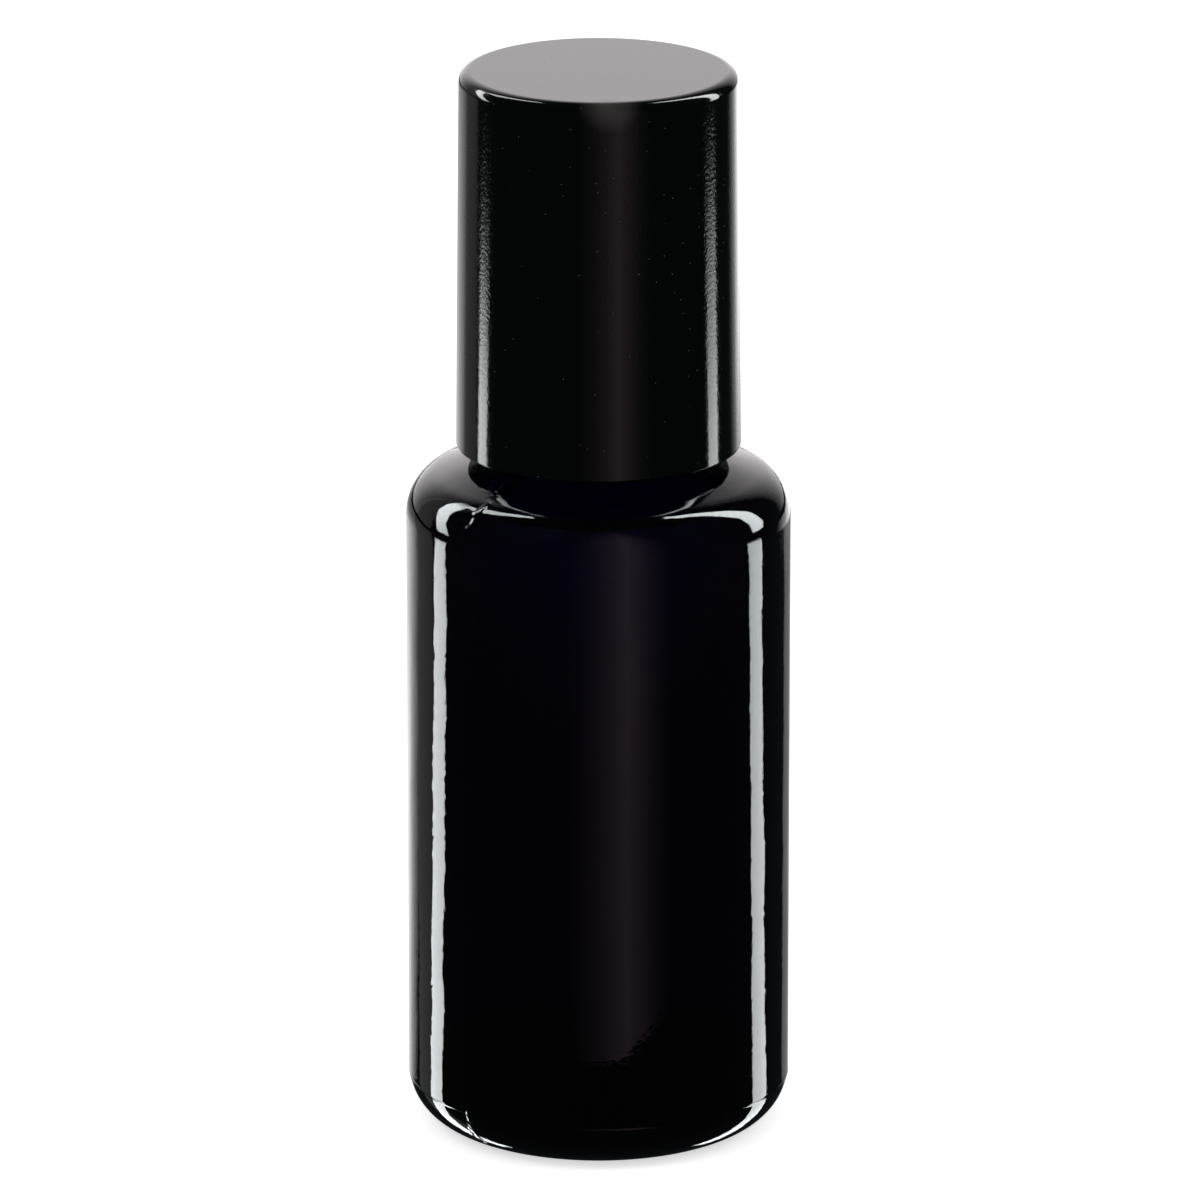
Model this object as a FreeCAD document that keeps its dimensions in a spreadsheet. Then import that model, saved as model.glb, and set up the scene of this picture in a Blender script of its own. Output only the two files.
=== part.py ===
"""A roll-on bottle: glass bottle, moulded ball housing, ball, and a screw cap made of shell, sleeve and pad.

Lengths are millimetres. The origin is the centre of the foot and +Z runs up the bottle's axis.
"""

import FreeCAD
import Part
import Sketcher
import math
import os
import re

FULL_TURN = 360.0
# An edge is the one to round when it lies within this share of the round's radius from its place.
EDGE_MATCH_SHARE = 0.01

# Driving sizes: name, value, and what it measures.
SIZES = [
    ("body_diameter", "33.0", "outside of the glass barrel"),
    ("body_wall", "2.4", "glass of the barrel"),
    ("base_thickness", "4.4", "floor of the hollow above the surface it stands on"),
    ("foot_ring_width", "1.9", "flat ring that the bottle stands on"),
    ("push_up_depth", "1.6", "hollow under the base"),
    ("heel_radius", "4.6", "round between foot and barrel"),
    ("inner_heel_radius", "3.4", "round of the hollow's floor"),
    ("shoulder_corner_height", "57.35", "sharp corner of barrel and shoulder, before its round"),
    ("shoulder_slope_angle", "22.0", "rise of the shoulder, in degrees"),
    ("shoulder_radius", "4.2", "round between barrel and shoulder"),
    ("shoulder_wall", "2.6", "glass of the shoulder, measured upright"),
    ("inner_shoulder_radius", "2.6", "round of the hollow under the shoulder"),
    ("neck_bore", "11.8", "hole through the neck"),
    ("neck_wall", "2.0", "glass of the neck at the root of its thread"),
    ("neck_height", "14.2", "neck from the shoulder to the rim"),
    ("neck_root_radius", "0.9", "round between shoulder and neck"),
    ("inner_neck_radius", "1.6", "round where the hollow runs into the neck"),
    ("rim_radius", "0.5", "rounds of the rim"),
    ("bead_rise", "2.3", "middle of the neck's bead above the neck's root"),
    ("bead_radius", "0.8", "half-round bead under the thread"),
    ("thread_depth", "1.0", "thread's crest above the neck's wall"),
    ("thread_clearance", "0.15", "room between the neck's thread and the sleeve"),
    ("plug_length", "9.0", "plug of the housing inside the neck"),
    ("plug_clearance", "0.06", "room between plug and neck"),
    ("plug_wall", "1.65", "wall of the plug"),
    ("plug_lead", "0.7", "taper of the plug's end, across"),
    ("plug_lead_height", "1.2", "taper of the plug's end, along"),
    ("seal_rib_count", "3", "sealing ribs round the plug"),
    ("seal_rib_height", "0.9", "one sealing rib, along the plug"),
    ("seal_rib_bite", "0.05", "press of the sealing ribs into the neck"),
    ("flange_overhang", "0.35", "flange beyond the cup or the neck"),
    ("flange_thickness", "1.1", "flange on the rim"),
    ("seat_rise", "0.8", "edge of the ball's seat above the rim"),
    ("ball_diameter", "14.3", "ball"),
    ("socket_clearance", "0.15", "room round the ball"),
    ("cup_wall", "1.05", "wall of the ball's cup at the ball's middle"),
    ("lip_grip", "0.6", "how far the lip closes in over the ball"),
    ("lip_land", "0.55", "flat top of the lip"),
    ("lip_taper_height", "2.7", "taper of the cup below the lip"),
    ("lip_round", "0.25", "round of the lip's outer edge"),
    ("notch_count", "6", "feed notches in the ball's seat"),
    ("notch_width", "1.3", "one feed notch"),
    ("notch_reach", "1.5", "feed notch outwards from the feed hole"),
    ("notch_drop", "0.5", "feed notch below the edge of the seat"),
    ("pad_gap", "0.15", "room between ball and pad"),
    ("pad_dish_diameter", "6.4", "hollow of the pad that fits the ball"),
    ("pad_diameter", "12.4", "pad"),
    ("pad_thickness", "1.5", "pad over the top of the ball"),
    ("pad_round", "0.3", "round of the pad's lower edge"),
    ("pad_clearance", "0.2", "room round the pad in its holder"),
    ("holder_wall", "0.9", "ring of the sleeve that holds the pad"),
    ("holder_grip", "0.3", "bead of the ring under the pad's edge"),
    ("holder_bead_height", "0.4", "that bead, along the axis"),
    ("plate_thickness", "1.2", "top of the sleeve"),
    ("insert_wall", "1.05", "wall of the sleeve"),
    ("collar_height", "1.4", "collar at the sleeve's mouth"),
    ("collar_clearance", "0.06", "room between collar and shell"),
    ("collar_inset", "0.4", "collar inwards of the cap's mouth"),
    ("rib_count", "16", "ribs between sleeve and shell"),
    ("rib_width", "1.0", "one rib"),
    ("rib_height", "0.7", "rib beyond the sleeve"),
    ("rib_setback", "0.8", "rib's end below the sleeve's top"),
    ("rib_bite", "0.04", "press of the ribs into the shell"),
    ("mouth_clearance", "0.3", "cap's mouth above the shoulder, at the sleeve's bore"),
    ("shell_wall", "1.07", "wall of the shell at its crown"),
    ("cap_flare", "0.33", "draft of the shell, mouth against crown, on the radius"),
    ("crown_thickness", "1.6", "top of the shell"),
    ("cap_edge_radius", "1.0", "round of the shell's top edge"),
    ("cap_mouth_radius", "0.25", "rounds of the shell's mouth"),
    ("cut_overrun", "1.0", "how far a cut runs past the solid"),
]

# Places worked out from the driving sizes, from the axis outwards.
BODY_RADIUS = "(body_diameter / 2)"
HOLLOW_RADIUS = f"({BODY_RADIUS} - body_wall)"
BORE_RADIUS = "(neck_bore / 2)"
NECK_RADIUS = f"({BORE_RADIUS} + neck_wall)"
THREAD_RADIUS = f"({NECK_RADIUS} + thread_depth)"
PLUG_RADIUS = f"({BORE_RADIUS} - plug_clearance)"
FEED_RADIUS = f"({PLUG_RADIUS} - plug_wall)"
BALL_RADIUS = "(ball_diameter / 2)"
SOCKET_RADIUS = f"({BALL_RADIUS} + socket_clearance)"
LIP_RADIUS = f"({BALL_RADIUS} - lip_grip)"
CUP_RADIUS = f"({SOCKET_RADIUS} + cup_wall)"
FLANGE_RADIUS = f"(max({CUP_RADIUS}; {NECK_RADIUS}) + flange_overhang)"
SLEEVE_BORE_RADIUS = f"(max({THREAD_RADIUS}; {FLANGE_RADIUS}) + thread_clearance)"
SLEEVE_RADIUS = f"({SLEEVE_BORE_RADIUS} + insert_wall)"
SHELL_BORE_RADIUS = f"({SLEEVE_RADIUS} + rib_height)"
CROWN_RADIUS = f"({SHELL_BORE_RADIUS} + shell_wall)"
MOUTH_RADIUS = f"({CROWN_RADIUS} + cap_flare)"
PAD_RADIUS = "(pad_diameter / 2)"
DISH_RADIUS = "(pad_dish_diameter / 2)"
HOLDER_BORE_RADIUS = f"({PAD_RADIUS} + pad_clearance)"

# Heights worked out from the driving sizes, from the foot upwards.
SLOPE = "tan(shoulder_slope_angle)"
NECK_ROOT = f"(shoulder_corner_height + ({BODY_RADIUS} - {NECK_RADIUS}) * {SLOPE})"
RIM = f"({NECK_ROOT} + neck_height)"
SEAT = f"({RIM} + seat_rise)"
BALL_CENTRE = f"({SEAT} + sqrt({SOCKET_RADIUS} ^ 2 - {FEED_RADIUS} ^ 2))"
LIP = f"({BALL_CENTRE} + sqrt({SOCKET_RADIUS} ^ 2 - {LIP_RADIUS} ^ 2))"
PAD_CENTRE_FACE = f"({BALL_CENTRE} + {BALL_RADIUS} + pad_gap)"
PAD_RIM_FACE = f"({BALL_CENTRE} + sqrt(({BALL_RADIUS} + pad_gap) ^ 2 - {DISH_RADIUS} ^ 2))"
PAD_TOP = f"({PAD_CENTRE_FACE} + pad_thickness)"
PLATE_FACE = f"({PAD_TOP} + pad_clearance)"
PLATE_TOP = f"({PLATE_FACE} + plate_thickness)"
CAP_TOP = f"({PLATE_TOP} + crown_thickness)"
CAP_MOUTH = f"(shoulder_corner_height + ({BODY_RADIUS} - {SLEEVE_BORE_RADIUS}) * {SLOPE} + mouth_clearance)"
COLLAR_FACE = f"({CAP_MOUTH} + collar_inset)"
COLLAR_TOP = f"({COLLAR_FACE} + collar_height)"
HOLDER_BEAD_TOP = f"({PAD_RIM_FACE} - pad_clearance)"
HOLDER_FACE = f"({HOLDER_BEAD_TOP} - holder_bead_height)"

doc = FreeCAD.newDocument("RollOnBottle")
sheet = doc.addObject("Spreadsheet::Sheet", "Sizes")
for row, (size_name, size_value, size_note) in enumerate(SIZES, start=1):
    sheet.set(f"A{row}", size_name)
    sheet.set(f"B{row}", size_value)
    sheet.set(f"C{row}", size_note)
    sheet.setAlias(f"B{row}", size_name)
doc.recompute()


def formula(text):
    """Point the size names in a formula at the cells of the sheet."""
    return re.sub(r"[a-z]+(?:_[a-z]+)+", lambda found: "Sizes." + found.group(0), text)


def number(text):
    """Work out a formula's value as it stands now."""
    return float(sheet.evalExpression(formula(text)))


def new_body(label):
    """Start a sub-part."""
    body = doc.addObject("PartDesign::Body", label)
    body.Label = label
    return body


def new_sketch(body, name, plane):
    """Start a sketch on one of the body's own origin planes."""
    sketch = body.newObject("Sketcher::SketchObject", name)
    support = next(feature for feature in body.Origin.OriginFeatures if feature.Role == plane)
    sketch.AttachmentSupport = (support, [""])
    sketch.MapMode = "FlatFace"
    return sketch


def hold(sketch, kind, point, text):
    """Bind a point's distance from the origin, across or up, to a formula."""
    across = kind == "DistanceX"
    if text == "0":
        axis = -2 if across else -1
        sketch.addConstraint(Sketcher.Constraint("PointOnObject", *point, axis))
        return
    index = sketch.addConstraint(Sketcher.Constraint(kind, -1, 1, *point, number(text)))
    sketch.setExpression(f"Constraints[{index}]", formula(text))


def axis_centre(start, end):
    """Height of the point on the axis that is as far from one end of an arc as from the other."""
    return (end.dot(end) - start.dot(start)) / (2 * (end.y - start.y))


def draw_outline(body, name, corners, arcs=None):
    """Draw a closed outline, radius across and height up, for a turned feature.

    Each corner is a pair of formulas. An edge runs from its corner to the next one, straight unless
    arcs names it: an arc has its centre on the axis, either at a given height with a given radius,
    which then sets its ends' heights, or wherever its two ends put it.
    """
    arcs = arcs or {}
    sketch = new_sketch(body, name, "XZ_Plane")
    places = [FreeCAD.Vector(number(across), number(up), 0) for across, up in corners]
    count = len(corners)
    starts = []
    ends = []
    for edge in range(count):
        start = places[edge]
        end = places[(edge + 1) % count]
        first, last = 1, 2
        if edge in arcs:
            given = arcs[edge]
            centre_height = number(given[0]) if given else axis_centre(start, end)
            centre = FreeCAD.Vector(0, centre_height, 0)
            first_angle = math.atan2(start.y - centre.y, start.x)
            last_angle = math.atan2(end.y - centre.y, end.x)
            if first_angle > last_angle:
                first, last = 2, 1
                first_angle, last_angle = last_angle, first_angle
            circle = Part.Circle(centre, FreeCAD.Vector(0, 0, 1), (start - centre).Length)
            sketch.addGeometry(Part.ArcOfCircle(circle, first_angle, last_angle))
        else:
            sketch.addGeometry(Part.LineSegment(start, end))
        starts.append((edge, first))
        ends.append((edge, last))
    for edge in range(count):
        sketch.addConstraint(Sketcher.Constraint("Coincident", *ends[edge], *starts[(edge + 1) % count]))
    set_by_arc = set()
    for edge, given in arcs.items():
        sketch.addConstraint(Sketcher.Constraint("PointOnObject", edge, 3, -2))
        if given:
            centre_height, radius = given
            hold(sketch, "DistanceY", (edge, 3), centre_height)
            index = sketch.addConstraint(Sketcher.Constraint("Radius", edge, number(radius)))
            sketch.setExpression(f"Constraints[{index}]", formula(radius))
            set_by_arc.update((edge, (edge + 1) % count))
    for corner, (across, up) in enumerate(corners):
        hold(sketch, "DistanceX", starts[corner], across)
        if corner not in set_by_arc:
            hold(sketch, "DistanceY", starts[corner], up)
    return sketch


def turn(body, sketch, name, cut=False):
    """Turn an outline once round the axis, as glass or plastic or as a cut."""
    feature = body.newObject("PartDesign::Groove" if cut else "PartDesign::Revolution", name)
    feature.Profile = sketch
    feature.ReferenceAxis = (sketch, ["V_Axis"])
    feature.Angle = FULL_TURN
    body.Tip = feature
    doc.recompute()
    return feature


def round_edges(body, name, radius, circles):
    """Round the circular edges that lie at the given radii and heights."""
    base = body.Tip
    near = number(radius) * EDGE_MATCH_SHARE
    wanted = [(number(across), number(up)) for across, up in circles]
    edges = []
    for index, edge in enumerate(base.Shape.Edges, start=1):
        if edge.Degenerated or not isinstance(edge.Curve, Part.Circle):
            continue
        for across, up in wanted:
            if abs(edge.Curve.Radius - across) < near and abs(edge.Curve.Center.z - up) < near:
                edges.append(f"Edge{index}")
    fillet = body.newObject("PartDesign::Fillet", name)
    fillet.Base = (base, edges)
    fillet.setExpression("Radius", formula(radius))
    body.Tip = fillet
    doc.recompute()
    return fillet


def repeat_round(body, feature, name, axis, count):
    """Repeat a feature evenly round the axis."""
    pattern = body.newObject("PartDesign::PolarPattern", name)
    pattern.Originals = [feature]
    pattern.Axis = axis
    pattern.Angle = FULL_TURN
    pattern.setExpression("Occurrences", formula(count))
    body.Tip = pattern
    doc.recompute()
    return pattern


def make_glass_bottle():
    """The bottle: barrel, shoulder and neck turned in one outline, then hollowed and rounded."""
    body = new_body("glass_bottle")
    outside = [
        ("0", "0"),
        (BODY_RADIUS, "0"),
        (BODY_RADIUS, "shoulder_corner_height"),
        (NECK_RADIUS, NECK_ROOT),
        (NECK_RADIUS, RIM),
        ("0", RIM),
    ]
    turn(body, draw_outline(body, "BottleOutline", outside), "BottleTurned")

    bead_sketch = new_sketch(body, "NeckBeadOutline", "XZ_Plane")
    bead_height = f"{NECK_ROOT} + bead_rise"
    bead_centre = FreeCAD.Vector(number(NECK_RADIUS), number(bead_height), 0)
    bead = bead_sketch.addGeometry(Part.Circle(bead_centre, FreeCAD.Vector(0, 0, 1), number("bead_radius")))
    hold(bead_sketch, "DistanceX", (bead, 3), NECK_RADIUS)
    hold(bead_sketch, "DistanceY", (bead, 3), bead_height)
    size = bead_sketch.addConstraint(Sketcher.Constraint("Radius", bead, number("bead_radius")))
    bead_sketch.setExpression(f"Constraints[{size}]", formula("bead_radius"))
    turn(body, bead_sketch, "NeckBead")

    hollow_corner = f"(shoulder_corner_height + body_wall * {SLOPE} - shoulder_wall)"
    hollow_neck = f"({NECK_ROOT} + neck_wall * {SLOPE} - shoulder_wall)"
    hollow = [
        ("0", "base_thickness"),
        (HOLLOW_RADIUS, "base_thickness"),
        (HOLLOW_RADIUS, hollow_corner),
        (BORE_RADIUS, hollow_neck),
        (BORE_RADIUS, f"{RIM} + cut_overrun"),
        ("0", f"{RIM} + cut_overrun"),
    ]
    turn(body, draw_outline(body, "HollowOutline", hollow), "Hollow", cut=True)

    push_up_radius = f"({BODY_RADIUS} - heel_radius - foot_ring_width)"
    push_up = [
        ("0", "0"),
        (push_up_radius, "0"),
        ("0", "push_up_depth"),
    ]
    turn(body, draw_outline(body, "PushUpOutline", push_up, {1: None}), "PushUp", cut=True)

    round_edges(body, "Heel", "heel_radius", [(BODY_RADIUS, "0")])
    round_edges(body, "Shoulder", "shoulder_radius", [(BODY_RADIUS, "shoulder_corner_height")])
    round_edges(body, "NeckRoot", "neck_root_radius", [(NECK_RADIUS, NECK_ROOT)])
    round_edges(body, "InnerHeel", "inner_heel_radius", [(HOLLOW_RADIUS, "base_thickness")])
    round_edges(body, "InnerShoulder", "inner_shoulder_radius", [(HOLLOW_RADIUS, hollow_corner)])
    round_edges(body, "InnerNeck", "inner_neck_radius", [(BORE_RADIUS, hollow_neck)])
    round_edges(body, "Rim", "min(rim_radius; neck_wall / 3)", [(NECK_RADIUS, RIM), (BORE_RADIUS, RIM)])
    return body


def make_roller_housing():
    """The moulded housing: plug, flange and ball cup, with sealing ribs and feed notches."""
    body = new_body("roller_housing")
    plug_end = f"({RIM} - plug_length)"
    flange_top = f"({RIM} + flange_thickness)"
    outline = [
        (FEED_RADIUS, plug_end),
        (f"{PLUG_RADIUS} - plug_lead", plug_end),
        (PLUG_RADIUS, f"{plug_end} + plug_lead_height"),
        (PLUG_RADIUS, RIM),
        (FLANGE_RADIUS, RIM),
        (FLANGE_RADIUS, flange_top),
        (CUP_RADIUS, flange_top),
        (CUP_RADIUS, f"{LIP} - lip_taper_height"),
        (f"{LIP_RADIUS} + lip_land", LIP),
        (LIP_RADIUS, LIP),
        (FEED_RADIUS, SEAT),
    ]
    lip_corner = outline.index((LIP_RADIUS, LIP))
    socket = {lip_corner: (BALL_CENTRE, SOCKET_RADIUS)}
    turn(body, draw_outline(body, "HousingOutline", outline, socket), "HousingTurned")
    lip_edges = [(f"{LIP_RADIUS} + lip_land", LIP), (FLANGE_RADIUS, flange_top)]
    round_edges(body, "LipRound", "min(lip_round; lip_land / 2)", lip_edges)

    rib_pitch = "((plug_length - plug_lead_height) / (seal_rib_count + 1))"
    rib_middle = f"({RIM} - {rib_pitch})"
    rib_root = f"({PLUG_RADIUS} - plug_wall / 2)"
    rib = [
        (rib_root, f"{rib_middle} - seal_rib_height / 2"),
        (PLUG_RADIUS, f"{rib_middle} - seal_rib_height / 2"),
        (f"{BORE_RADIUS} + seal_rib_bite", rib_middle),
        (PLUG_RADIUS, f"{rib_middle} + seal_rib_height / 2"),
        (rib_root, f"{rib_middle} + seal_rib_height / 2"),
    ]
    rib_sketch = draw_outline(body, "SealRibOutline", rib)
    seal_rib = turn(body, rib_sketch, "SealRib")
    ribs = body.newObject("PartDesign::LinearPattern", "SealRibs")
    ribs.Originals = [seal_rib]
    ribs.Direction = (rib_sketch, ["V_Axis"])
    ribs.Reversed = True
    ribs.setExpression("Length", formula(f"{rib_pitch} * (seal_rib_count - 1)"))
    ribs.setExpression("Occurrences", formula("seal_rib_count"))
    body.Tip = ribs
    doc.recompute()

    notch = [
        (f"{FEED_RADIUS} / 2", f"{SEAT} - notch_drop"),
        (f"{FEED_RADIUS} + notch_reach", f"{SEAT} - notch_drop"),
        (f"{FEED_RADIUS} + notch_reach", BALL_CENTRE),
        (f"{FEED_RADIUS} / 2", BALL_CENTRE),
    ]
    notch_sketch = draw_outline(body, "FeedNotchOutline", notch)
    feed_notch = body.newObject("PartDesign::Pocket", "FeedNotch")
    feed_notch.Profile = notch_sketch
    feed_notch.SideType = "Symmetric"
    feed_notch.setExpression("Length", formula("notch_width"))
    body.Tip = feed_notch
    doc.recompute()
    repeat_round(body, feed_notch, "FeedNotches", (notch_sketch, ["V_Axis"]), "notch_count")
    return body


def make_roller_ball():
    """The ball, lying free in its socket."""
    ball = doc.addObject("Part::Sphere", "roller_ball")
    ball.Label = "roller_ball"
    ball.setExpression("Radius", formula(BALL_RADIUS))
    ball.setExpression("Placement.Base.z", formula(BALL_CENTRE))
    return ball


def make_cap_seal_pad():
    """The soft pad in the cap, dished to the ball."""
    body = new_body("cap_seal_pad")
    outline = [
        ("0", PAD_CENTRE_FACE),
        (DISH_RADIUS, PAD_RIM_FACE),
        (PAD_RADIUS, PAD_RIM_FACE),
        (PAD_RADIUS, PAD_TOP),
        ("0", PAD_TOP),
    ]
    dish = {0: (BALL_CENTRE, f"{BALL_RADIUS} + pad_gap")}
    turn(body, draw_outline(body, "PadOutline", outline, dish), "PadTurned")
    round_edges(body, "PadRound", "min(pad_round; pad_thickness / 3)", [(PAD_RADIUS, PAD_RIM_FACE)])
    return body


def make_cap_insert():
    """The cap's sleeve: threaded bore, top plate with the pad's holder, and ribs towards the shell."""
    body = new_body("cap_insert")
    collar_radius = f"({SHELL_BORE_RADIUS} - collar_clearance)"
    bead_radius = f"({PAD_RADIUS} - holder_grip)"
    holder_radius = f"({HOLDER_BORE_RADIUS} + holder_wall)"
    outline = [
        (SLEEVE_BORE_RADIUS, COLLAR_FACE),
        (collar_radius, COLLAR_FACE),
        (collar_radius, COLLAR_TOP),
        (SLEEVE_RADIUS, COLLAR_TOP),
        (SLEEVE_RADIUS, PLATE_TOP),
        ("0", PLATE_TOP),
        ("0", PLATE_FACE),
        (HOLDER_BORE_RADIUS, PLATE_FACE),
        (HOLDER_BORE_RADIUS, HOLDER_BEAD_TOP),
        (bead_radius, HOLDER_BEAD_TOP),
        (HOLDER_BORE_RADIUS, HOLDER_FACE),
        (holder_radius, HOLDER_FACE),
        (holder_radius, PLATE_FACE),
        (SLEEVE_BORE_RADIUS, PLATE_FACE),
    ]
    turn(body, draw_outline(body, "SleeveOutline", outline), "SleeveTurned")

    rib_sketch = new_sketch(body, "RibOutline", "XY_Plane")
    rib_sketch.setExpression("AttachmentOffset.Base.z", formula(COLLAR_TOP))
    inner = number(f"{SLEEVE_RADIUS} - insert_wall / 2")
    outer = number(f"{SHELL_BORE_RADIUS} + rib_bite")
    half = number("rib_width / 2")
    spots = [(inner, -half), (outer, -half), (outer, half), (inner, half)]
    places = [FreeCAD.Vector(across, along, 0) for across, along in spots]
    for side in range(len(places)):
        rib_sketch.addGeometry(Part.LineSegment(places[side], places[(side + 1) % len(places)]))
    for side in range(len(places)):
        rib_sketch.addConstraint(Sketcher.Constraint("Coincident", side, 2, (side + 1) % len(places), 1))
    rib_sketch.addConstraint(Sketcher.Constraint("Horizontal", 0))
    rib_sketch.addConstraint(Sketcher.Constraint("Horizontal", 2))
    rib_sketch.addConstraint(Sketcher.Constraint("Vertical", 3))
    rib_sketch.addConstraint(Sketcher.Constraint("Symmetric", 1, 1, 1, 2, -1))
    width = rib_sketch.addConstraint(Sketcher.Constraint("DistanceY", 1, 1, 1, 2, number("rib_width")))
    rib_sketch.setExpression(f"Constraints[{width}]", formula("rib_width"))
    hold(rib_sketch, "DistanceX", (0, 1), f"{SLEEVE_RADIUS} - insert_wall / 2")
    hold(rib_sketch, "DistanceX", (0, 2), f"{SHELL_BORE_RADIUS} + rib_bite")
    rib = body.newObject("PartDesign::Pad", "Rib")
    rib.Profile = rib_sketch
    rib.setExpression("Length", formula(f"{PLATE_TOP} - rib_setback - {COLLAR_TOP}"))
    body.Tip = rib
    doc.recompute()
    repeat_round(body, rib, "Ribs", (rib_sketch, ["N_Axis"]), "rib_count")
    return body


def make_cap_shell():
    """The cap's outer shell, drafted from mouth to crown."""
    body = new_body("cap_shell")
    outside = [
        ("0", CAP_MOUTH),
        (MOUTH_RADIUS, CAP_MOUTH),
        (CROWN_RADIUS, CAP_TOP),
        ("0", CAP_TOP),
    ]
    turn(body, draw_outline(body, "ShellOutline", outside), "ShellTurned")
    inside = [
        ("0", f"{CAP_MOUTH} - cut_overrun"),
        (SHELL_BORE_RADIUS, f"{CAP_MOUTH} - cut_overrun"),
        (SHELL_BORE_RADIUS, PLATE_TOP),
        ("0", PLATE_TOP),
    ]
    turn(body, draw_outline(body, "ShellBoreOutline", inside), "ShellBore", cut=True)
    round_edges(body, "CrownEdge", "cap_edge_radius", [(CROWN_RADIUS, CAP_TOP)])
    mouth = [(MOUTH_RADIUS, CAP_MOUTH), (SHELL_BORE_RADIUS, CAP_MOUTH)]
    round_edges(body, "MouthEdges", "min(cap_mouth_radius; shell_wall / 3)", mouth)
    return body


parts = [
    make_glass_bottle(),
    make_roller_housing(),
    make_roller_ball(),
    make_cap_seal_pad(),
    make_cap_insert(),
    make_cap_shell(),
]
doc.recompute()

for item in doc.Objects:
    if "Invalid" in item.State or "Error" in item.State:
        raise RuntimeError(f"{item.Label} failed: {item.State}")
for part in parts:
    if part.Shape.isNull() or not part.Shape.isValid() or len(part.Shape.Solids) != 1:
        raise RuntimeError(f"{part.Label} is not one valid solid")

os.makedirs("parts", exist_ok=True)
for part in parts:
    part.Shape.exportStep(f"parts/{part.Label}.step")
    box = part.Shape.optimalBoundingBox()
    span = f"height {box.ZMin:.2f} to {box.ZMax:.2f}, width {box.XLength:.2f}"
    print(f"{part.Label}: {part.Shape.Volume:.1f} mm3, {span}")
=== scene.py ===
"""Looks of the roll-on bottle: violet glass, moulded ball housing, steel ball and gloss black screw cap.

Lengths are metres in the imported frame: the foot's centre is the origin and +Z runs up the bottle's axis.
"""

import logging
import math
from collections.abc import Mapping
from dataclasses import dataclass, field
from enum import Enum

import bmesh
import bpy
from mathutils import Matrix, Vector


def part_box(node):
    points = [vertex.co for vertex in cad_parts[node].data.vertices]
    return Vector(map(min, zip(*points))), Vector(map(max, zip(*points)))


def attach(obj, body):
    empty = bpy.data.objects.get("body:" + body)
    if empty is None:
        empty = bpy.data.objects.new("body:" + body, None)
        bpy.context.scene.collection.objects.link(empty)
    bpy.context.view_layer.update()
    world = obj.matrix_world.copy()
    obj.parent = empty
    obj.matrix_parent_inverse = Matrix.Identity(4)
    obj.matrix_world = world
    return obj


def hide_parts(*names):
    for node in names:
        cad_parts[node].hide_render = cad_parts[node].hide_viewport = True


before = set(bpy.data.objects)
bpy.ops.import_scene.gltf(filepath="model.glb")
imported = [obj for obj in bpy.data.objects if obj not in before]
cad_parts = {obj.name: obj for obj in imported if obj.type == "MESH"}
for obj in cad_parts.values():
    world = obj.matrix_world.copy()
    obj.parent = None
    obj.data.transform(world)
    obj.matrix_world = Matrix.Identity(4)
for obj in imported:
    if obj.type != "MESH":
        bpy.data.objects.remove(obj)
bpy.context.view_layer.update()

LOG = logging.getLogger("roll_on_bottle")
MM = 0.001
FULL_TURN = 2 * math.pi
SHARP_ANGLE = math.radians(32)

Span = tuple[float, float]
Triple = tuple[float, float, float]
UNIT: Span = (0.0, 1.0)
WHITE: Triple = (1.0, 1.0, 1.0)


class Body(Enum):
    """The bodies of the frame that pieces ride on."""

    BOTTLE = "bottle"
    BALL = "ball"
    SEAL = "seal"
    CAP = "cap"


class Slot(Enum):
    """The record's material slots."""

    GLASS = "glass"
    HOUSING = "housing_plastic"
    BALL = "ball_steel"
    PAD = "pad_foam"
    SLEEVE = "sleeve_plastic"
    CAP = "cap_plastic"


class Work(Enum):
    """The ways to work a tool's shape into a piece."""

    ADD = "UNION"
    CUT = "DIFFERENCE"


# Turned shapes


@dataclass(frozen=True)
class Corner:
    """A corner of a turned outline.

    Attributes:
        radius: Distance from the axis.
        height: Height above the foot.
        rounding: Radius of the corner's round, or zero for a sharp one.
        cuts: Extra points on the straight run that leads to the corner.
    """

    radius: float
    height: float
    rounding: float = 0.0
    cuts: int = 0

    @property
    def place(self) -> Vector:
        """The corner as a point of the XZ plane."""
        return Vector((self.radius, 0.0, self.height))


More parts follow.
